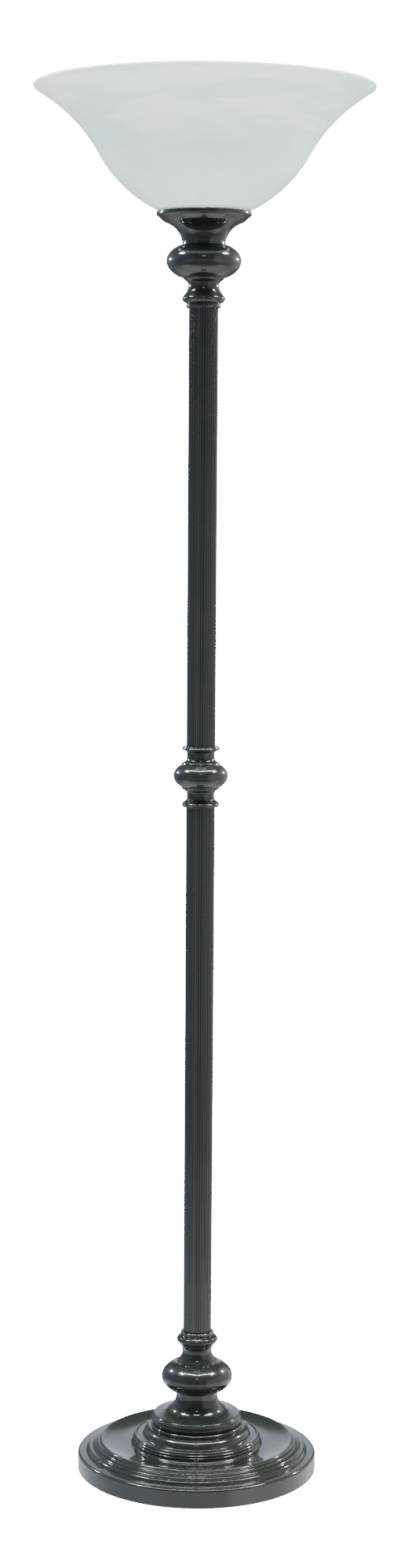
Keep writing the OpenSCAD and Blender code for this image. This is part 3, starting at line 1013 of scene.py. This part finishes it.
def socket_cap():
    """The socket's cap, with holes for its locking screw and for the switch spindle."""
    cap = turned("socket_cap")
    screw_low, screw_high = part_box("cap_set_screw")
    spindle_low, spindle_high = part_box("switch_spindle")
    screw_hole, spindle_hole = 1.3 * MM, 2.6 * MM
    z = (screw_low.z + screw_high.z) / 2
    cap = bored(cap, (screw_low.x - 2 * MM, 0, z), (-6 * MM, 0, z), screw_hole)
    inside, outside = 12 * MM, 20 * MM
    z = (spindle_low.z + spindle_high.z) / 2
    return bored(cap, (inside, 0, z), (outside, 0, z), spindle_hole)


def switch_knob():
    """A turn knob: a flange, and a barrel with ribs that a tree raises along it."""
    shape = bpy.context.scene.lamp_shape
    low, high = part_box("switch_knob")
    length = high.x - low.x
    flange = (high.z - low.z) / 2
    barrel, nose = flange - 1.4 * MM, flange - 2.6 * MM
    bore, blind = 2.06 * MM, length - 1.6 * MM
    rim, start, end = 1.6 * MM, 2.6 * MM, length - 1.8 * MM
    dish = length - 0.4 * MM
    along = [start + (end - start) * k / 12 for k in range(13)]
    outline = [(0, blind), (bore, blind), (bore, 0), (flange, 0), (flange, rim)]
    outline += [(barrel, z) for z in along]
    outline += [(nose + 0.5 * MM, dish), (nose, length), (nose - 1.2 * MM, length)]
    outline += [(nose - 1.6 * MM, dish), (0, dish)]
    points = eased([np.array(p) for p in outline], False, 0.3 * MM)
    knob = lathe("ribbed_switch_knob", points, False, shape.knob_ribs * 12)
    tree = Shaper(
        "Ribs round a knob",
        {"Ribs": shape.knob_ribs, "Rib height": 0.55 * MM, "Start": start, "End": end},
        shapes_mesh=True,
    )
    x, y, z = (tree.add("ShaderNodeSeparateXYZ", {0: tree.spot}, output=k) for k in range(3))
    out = (x * x + y * y).math("SQRT")
    wave = (y.math("ARCTAN2", x) * tree.size("Ribs")).math("COSINE") * 0.5 + 0.5
    ends = (z - tree.size("Start")).math("MINIMUM", tree.size("End") - z)
    fade = (ends / (1.2 * MM)).clamped() * (out - (barrel - 0.3 * MM)).above(0)
    rise = tree.size("Rib height") * fade * wave.math("POWER", 1.6) / out
    offset = tree.add("ShaderNodeCombineXYZ", {"X": x * rise, "Y": y * rise})
    raised = tree.add("GeometryNodeSetPosition", {"Geometry": tree.size("Mesh"), "Offset": offset})
    middle = (low.z + high.z) / 2
    knob = tree.made(
        "ribbed_switch_knob", SLOTS["switch_knob"], raised, turned_to_x(low.x, middle), knob
    )
    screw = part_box("knob_set_screw")
    x, screw_hole = (screw[0].x + screw[1].x) / 2, 1.05 * MM
    return bored(knob, (x, bore * 0.9, middle), (x, flange * 1.2, middle), screw_hole)


def set_screw(node, axis):
    """A headless screw with a slot in its outer end. The axis points out of the hole."""
    low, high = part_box(node)
    size = high - low
    length = abs(size.dot(Vector(axis)))
    radius = size.z / 2
    chamfer = radius * 0.3
    outline = [(0, 0), (radius - chamfer, 0), (radius, chamfer), (radius, length - chamfer)]
    outline += [(radius - chamfer, length), (0, length)]
    start = (low + high) / 2 - Vector(axis) * length / 2
    turn = Vector(axis).to_track_quat("Z", "Y").to_matrix().to_4x4()
    place = Matrix.Translation(start) @ turn
    return slotted(f"slotted_{node}", outline, radius * 0.35, radius * 0.6, place)


def terminal_screws():
    """Two binding screws with domed, slotted heads, one to each side of the block."""
    low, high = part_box("terminal_screws")
    centre = (low + high) / 2
    head, thick, shank, long, slot = 3 * MM, 1.6 * MM, 1.5 * MM, 2.4 * MM, 0.8 * MM
    outline = [(0, -long), (shank, -long), (shank, 0), (head, 0), (head, thick * 0.45)]
    outline += [(head * 0.86, thick * 0.8), (head * 0.55, thick), (0, thick)]
    screws = []
    for side in (-1, 1):
        seat = Vector((centre.x, side * (high.y - thick), centre.z))
        turn = Matrix.Rotation(math.radians(-90 * side), 4, "X")
        place = Matrix.Translation(seat) @ turn
        screws.append(slotted(f"screw_{side}", outline, slot, slot, place))
    return joined("slotted_terminal_screws", screws)


def joined(name, pieces):
    """One object that holds all the pieces."""
    whole = bmesh.new()
    for piece in pieces:
        whole.from_mesh(piece.data)
        bpy.data.objects.remove(piece)
    return finished(whole, name)


def bulb_cap():
    """The bulb's cap: a sleeve with a rolled thread, which starts a little over its foot."""
    low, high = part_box("bulb_cap")
    foot = 2.2 * MM
    return rolled_thread("bulb_cap", low.z + foot, high.z, depth=0.7 * MM, wall=0.5 * MM)


def screw_shell():
    """The holder's own thread, which the bulb's cap screws into."""
    low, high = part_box("screw_shell")
    return rolled_thread("screw_shell", low.z, high.z, depth=0.25 * MM, wall=0.3 * MM)


# ---- The stage ----


def aimed(thing, spot, target):
    """Puts a light or the camera at a spot, and points it at the target."""
    item = bpy.data.objects.new(thing.name, thing)
    bpy.context.scene.collection.objects.link(item)
    item.location = spot
    item.rotation_euler = (Vector(target) - Vector(spot)).to_track_quat("-Z", "Y").to_euler()
    return item


def softbox(name, spot, target, size, power, colour=(1, 1, 1)):
    """A rectangular light."""
    lamp = bpy.data.lights.new(name, "AREA")
    lamp.shape = "RECTANGLE"
    lamp.size, lamp.size_y = size
    lamp.energy = power
    lamp.color = colour
    return aimed(lamp, spot, target)


def camera():
    """The camera, at about three quarters of the lamp's height, looking down a little."""
    look = bpy.context.scene.lamp_stage
    lens = bpy.data.cameras.new("camera")
    lens.lens = look.lens
    # Shares of the picture's longer side that the view is shifted by.
    lens.shift_x, lens.shift_y = 0.005, 0.10
    item = bpy.data.objects.new("camera", lens)
    bpy.context.scene.collection.objects.link(item)
    tilt = Matrix.Rotation(math.pi / 2 - look.pitch, 4, "X")
    roll = Matrix.Rotation(look.roll, 4, "Z")
    item.matrix_world = Matrix.Translation((0, -look.distance, look.height)) @ tilt @ roll
    bpy.context.scene.camera = item


def daylight():
    """The room. The camera sees plain white past the lamp. What the lamp's polish reflects is
    dim, but for white paper below, a pale panel at each side, a narrow one low behind and a
    faint one low in front. Matt surfaces get an even light besides."""
    world = bpy.data.worlds.new("room")
    bpy.context.scene.world = world
    world.use_nodes = True
    world.node_tree.nodes.clear()
    tree = Tree(world.node_tree.nodes, world.node_tree.links)
    way = tree.add("ShaderNodeTexCoord", output="Generated")
    x, y, z = (tree.add("ShaderNodeSeparateXYZ", {0: way}, output=k) for k in range(3))

    def rise(value, low, high):
        """A soft step, from 0 at low to 1 at high."""
        return tree.add("ShaderNodeMapRange", {0: value, 1: low, 2: high}, interpolation_type="SMOOTHSTEP")

    # The paper is weaker in front, where the camera stands.
    paper = rise(z, -0.35, -0.85) * (1 - rise(y, 0.0, -0.5) * 0.75)
    level = 1 - rise(z.math("ABSOLUTE"), 0.35, 0.7)
    right = rise(x, 0.40, 0.62) * level * 0.8
    left = rise(x, -0.40, -0.70) * level * 0.42
    behind = rise(y, 0.75, 0.90) * rise(x.math("ABSOLUTE"), 0.30, 0.12)
    behind = behind * rise(z, -0.10, 0.05) * rise(z, 0.50, 0.34)
    front = rise(y, -0.2, -0.6) * rise(z, 0.10, -0.12) * rise(z, -0.50, -0.34)
    glow = paper + right + left + behind * 1.2 + front * 0.4 + DIM
    glow = glow + tree.add("ShaderNodeLightPath", output="Is Diffuse Ray") * EVEN
    # The left panel is bluish, and the one behind a little so.
    blue = left * 0.8 + behind * 0.2
    cool = tree.add("ShaderNodeCombineXYZ", {"X": 1.0 - blue * 1.2, "Y": 1.0 - blue * 0.9, "Z": 1.0})
    camera_ray = tree.add("ShaderNodeLightPath", output="Is Camera Ray")
    strength = glow.where(1 - camera_ray, WHITE)
    sides = {0: camera_ray, 4: cool, 5: (1, 1, 1)}
    tint = tree.add("ShaderNodeMix", sides, output=1, data_type="VECTOR")
    shine = tree.add("ShaderNodeBackground", {"Color": tint, "Strength": strength})
    tree.join(shine, tree.nodes.new("ShaderNodeOutputWorld").inputs["Surface"])


def floor():
    """A wide white floor under the lamp's felt. It is see-through from below, and the polish
    doesn't mirror it: the room and the paper light stand in for its glow."""
    mesh = bmesh.new()
    bmesh.ops.create_grid(mesh, x_segments=1, y_segments=1, size=40)
    ground = finished(mesh, "floor", Matrix.Translation((0, 0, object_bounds()[0].z)))
    paper = Finish("white_paper")
    paper.colour((0.8, 0.8, 0.8))
    paper.set(roughness=0.6, emission_color=(1, 1, 1, 1), emission_strength=PAPER)
    paper.set(alpha=1 - paper.add("ShaderNodeNewGeometry", output="Backfacing"))
    ground.data.materials.append(paper.material)
    ground.visible_glossy = ground.visible_diffuse = ground.visible_shadow = False
    ground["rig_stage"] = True


# ---- Operators: one for each piece or group of like pieces ----


class LAMP_OT_stage(bpy.types.Operator):
    """Sets up the camera, the lights, the room and the floor"""

    bl_idname = "lamp.stage"
    bl_label = "Stage"

    def execute(self, context):
        camera()
        daylight()
        floor()
        power, chest = context.scene.lamp_stage.key_power, (0, 0, 1.0)
        slant = 0.51
        for side, tint in ((-1, LEFT_TINT), (1, RIGHT_TINT)):
            # A long bank overhead, turned by the slant, a wing at its outer end, and a small
            # light behind the lamp's shoulder.
            spot = (side * 1.52, -0.39, 3.9)
            bank = softbox(f"bank_{side}", spot, chest, (3.3, 0.2), power * 5.5, tint)
            bank.rotation_euler = (0, 0, side * slant)
            softbox(f"wing_{side}", (side * 2.3, 0, 3.7), chest, (0.9, 0.5), power * 3, tint)
            softbox(f"side_{side}", (side * 2.3, 1.6, 1.9), chest, (0.26, 0.26), power * 1.6, tint)
        softbox("front", (0, -2.8, 3.2), chest, (0.5, 0.06), power * 0.12)
        # White paper just under the floor, from behind the felt to well in front of the base. It
        # shines up at the lamp, and the camera doesn't see it.
        paper = softbox("paper", (0, -0.325, -0.01), chest, (3.4, 1.15), power * 0.3)
        paper.rotation_euler = (math.pi, 0, 0)
        paper.visible_camera = False
        return {"FINISHED"}


class LAMP_OT_castings(bpy.types.Operator):
    """Turns the lacquered castings of the pole and the bowl's cup"""

    bl_idname = "lamp.castings"
    bl_label = "Castings"

    def execute(self, context):
        for node in CASTINGS:
            stand_in(turned(node), node)
        return {"FINISHED"}


class LAMP_OT_base_cover(bpy.types.Operator):
    """Turns the base's cover and bores its cord outlet"""

    bl_idname = "lamp.base_cover"
    bl_label = "Base cover"

    def execute(self, context):
        stand_in(base_cover(), "base_cover")
        return {"FINISHED"}


class LAMP_OT_cord_bushing(bpy.types.Operator):
    """Makes the bushing in the cord outlet"""

    bl_idname = "lamp.cord_bushing"
    bl_label = "Cord bushing"

    def execute(self, context):
        stand_in(cord_bushing(), "cord_bushing")
        return {"FINISHED"}


class LAMP_OT_felt(bpy.types.Operator):
    """Cuts the felt under the base"""

    bl_idname = "lamp.felt"
    bl_label = "Felt"

    def execute(self, context):
        stand_in(turned_felt(), "base_felt")
        return {"FINISHED"}


class LAMP_OT_tubes(bpy.types.Operator):
    """Makes the two reeded tubes"""

    bl_idname = "lamp.tubes"
    bl_label = "Reeded tubes"

    def execute(self, context):
        for node in ("lower_tube", "upper_tube"):
            stand_in(reeded_tube(node), node)
        return {"FINISHED"}


class LAMP_OT_pipes(bpy.types.Operator):
    """Makes the threaded pipes that clamp the pole together"""

    bl_idname = "lamp.pipes"
    bl_label = "Threaded pipes"

    def execute(self, context):
        for node in ("lower_pipe", "upper_pipe"):
            stand_in(threaded_pipe(node), node)
        return {"FINISHED"}


class LAMP_OT_glass_bowl(bpy.types.Operator):
    """Turns the alabaster glass bowl"""

    bl_idname = "lamp.glass_bowl"
    bl_label = "Glass bowl"

    def execute(self, context):
        stand_in(turned("glass_bowl", steps=192), "glass_bowl")
        return {"FINISHED"}


class LAMP_OT_washers(bpy.types.Operator):
    """Turns the washers and rings, with their edges eased"""

    bl_idname = "lamp.washers"
    bl_label = "Washers"

    def execute(self, context):
        for node in WASHERS:
            stand_in(turned(node, steps=96, easing=0.2 * MM), node)
        return {"FINISHED"}


class LAMP_OT_socket(bpy.types.Operator):
    """Makes the socket's cap and shell, and the thread inside it"""

    bl_idname = "lamp.socket"
    bl_label = "Socket"

    def execute(self, context):
        stand_in(socket_cap(), "socket_cap")
        stand_in(turned("socket_shell"), "socket_shell")
        stand_in(screw_shell(), "screw_shell")
        return {"FINISHED"}


class LAMP_OT_switch_knob(bpy.types.Operator):
    """Makes the switch's ribbed knob"""

    bl_idname = "lamp.switch_knob"
    bl_label = "Switch knob"

    def execute(self, context):
        stand_in(switch_knob(), "switch_knob")
        return {"FINISHED"}


class LAMP_OT_screws(bpy.types.Operator):
    """Makes the slotted screws of the socket and the knob"""

    bl_idname = "lamp.screws"
    bl_label = "Screws"

    def execute(self, context):
        stand_in(set_screw("cap_set_screw", (-1, 0, 0)), "cap_set_screw")
        stand_in(set_screw("knob_set_screw", (0, 1, 0)), "knob_set_screw")
        stand_in(terminal_screws(), "terminal_screws")
        return {"FINISHED"}


class LAMP_OT_bulb(bpy.types.Operator):
    """Makes the bulb's glass and its threaded cap"""

    bl_idname = "lamp.bulb"
    bl_label = "Bulb"

    def execute(self, context):
        stand_in(turned("bulb_glass", steps=128, easing=0.25 * MM), "bulb_glass")
        stand_in(bulb_cap(), "bulb_cap")
        stand_in(turned("bulb_insulator", steps=64, easing=0.2 * MM), "bulb_insulator")
        stand_in(turned("bulb_stem", steps=48, easing=0.4 * MM), "bulb_stem")
        return {"FINISHED"}


class LAMP_OT_fittings(bpy.types.Operator):
    """Gives the fittings that keep their CAD shape their finishes"""

    bl_idname = "lamp.fittings"
    bl_label = "Fittings"

    def execute(self, context):
        for node, item in NODES.items():
            if not item.hide_render:
                item.data.materials.clear()
                item.data.materials.append(finish_of(SLOTS[node]))
        return {"FINISHED"}


class LAMP_PT_sidebar(bpy.types.Panel):
    """The lamp's sizes, finishes and steps"""

    bl_label = "Torchiere lamp"
    bl_space_type = "VIEW_3D"
    bl_region_type = "UI"
    bl_category = "Lamp"

    def draw(self, context):
        for group in (context.scene.lamp_shape, context.scene.lamp_finish, context.scene.lamp_stage):
            box = self.layout.box()
            for name in group.__annotations__:
                box.prop(group, name)
        for step in STEPS:
            self.layout.operator(step.bl_idname)


GROUPS = {"lamp_shape": LampShape, "lamp_finish": LampFinish, "lamp_stage": LampStage}
STEPS = (
    LAMP_OT_stage,
    LAMP_OT_felt,
    LAMP_OT_base_cover,
    LAMP_OT_cord_bushing,
    LAMP_OT_castings,
    LAMP_OT_tubes,
    LAMP_OT_pipes,
    LAMP_OT_glass_bowl,
    LAMP_OT_washers,
    LAMP_OT_socket,
    LAMP_OT_switch_knob,
    LAMP_OT_screws,
    LAMP_OT_bulb,
    LAMP_OT_fittings,
)


def register():
    for kind in (*GROUPS.values(), *STEPS, LAMP_PT_sidebar):
        bpy.utils.register_class(kind)
    for name, kind in GROUPS.items():
        setattr(bpy.types.Scene, name, bpy.props.PointerProperty(type=kind))


def unregister():
    for name in GROUPS:
        delattr(bpy.types.Scene, name)
    for kind in (LAMP_PT_sidebar, *reversed(STEPS), *reversed(GROUPS.values())):
        bpy.utils.unregister_class(kind)


def main():
    register()
    for step in STEPS:
        group, name = step.bl_idname.split(".")
        getattr(getattr(bpy.ops, group), name)()


if __name__ == "__main__":
    main()
